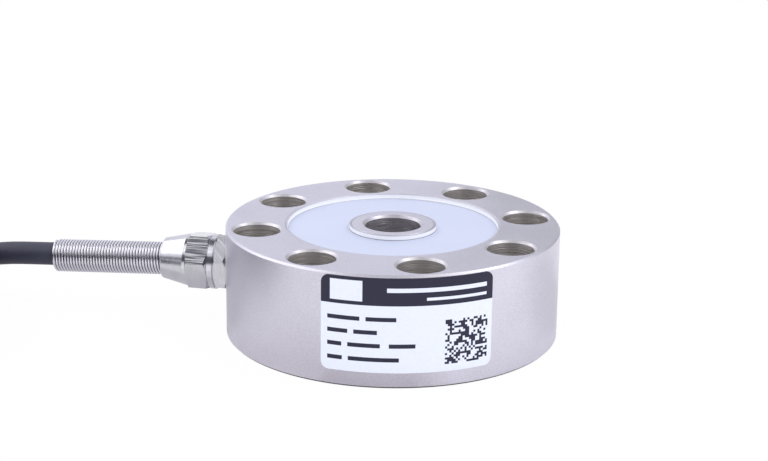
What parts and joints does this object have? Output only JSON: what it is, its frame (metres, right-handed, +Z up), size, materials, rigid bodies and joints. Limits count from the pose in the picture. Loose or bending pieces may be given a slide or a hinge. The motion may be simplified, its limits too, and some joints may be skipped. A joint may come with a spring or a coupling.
{
  "type": "spoke type load cell",
  "caption": "Low round load cell: spoke body under thin covers, bolt holes round its rim, plain hub bore, and a side gland with a bend relief spring and a coiled cable.",
  "frame": {"origin": "on the body's axis, in the rim's lower face, at the middle of the bolt circle", "axes": "+Z up along the hub's bore, from the lower face to the loaded face; the cable gland points along -X"},
  "size_m": [0.2871, 0.1563, 0.035],
  "materials": {
    "body_steel": "satin nickel plating over fine turning marks",
    "cover_steel": "satin pressed sheet",
    "gauge_foil": "amber carrier film with a metal foil grid",
    "board": "green solder mask",
    "resistor": "ceramic chip with tinned ends",
    "wiring": "bundle of fine insulated wires",
    "wire_red": "insulated wire",
    "wire_black": "insulated wire",
    "wire_green": "insulated wire",
    "wire_white": "insulated wire",
    "shield_braid": "twisted tinned copper",
    "washer": "black sealing washer",
    "gland_metal": "nickel-plated brass, bright turned",
    "seal": "soft black rubber",
    "clamp_metal": "plain turned ring",
    "spring_steel": "bright spring wire",
    "cable_sheath": "smooth dark grey sheath",
    "tie_nylon": "black nylon",
    "label_film": "white film with a dark band and plain bars"
  },
  "bodies": {
    "root": {"sensor_body": "body_steel", "top_cover": "cover_steel", "bottom_cover": "cover_steel", "strain_gauge_1": "gauge_foil", "strain_gauge_2": "gauge_foil", "strain_gauge_3": "gauge_foil", "strain_gauge_4": "gauge_foil", "strain_gauge_5": "gauge_foil", "strain_gauge_6": "gauge_foil", "strain_gauge_7": "gauge_foil", "strain_gauge_8": "gauge_foil", "bridge_board": "board", "zero_resistor": "resistor", "span_resistor": "resistor", "bridge_wiring": "wiring", "lead_red": "wire_red", "lead_black": "wire_black", "lead_green": "wire_green", "lead_white": "wire_white", "sealing_washer": "washer", "gland_body": "gland_metal", "gland_seal": "seal", "clamp_ring": "clamp_metal", "gland_nut": "gland_metal", "relief_spring": "spring_steel", "cable": "cable_sheath", "cable_coil": "cable_sheath", "cable_tail": "cable_sheath", "cable_tie_1": "tie_nylon", "cable_tie_2": "tie_nylon", "core_red": "wire_red", "core_black": "wire_black", "core_green": "wire_green", "core_white": "wire_white", "core_shield": "shield_braid", "rating_label": "label_film"}
  },
  "joints": []
}
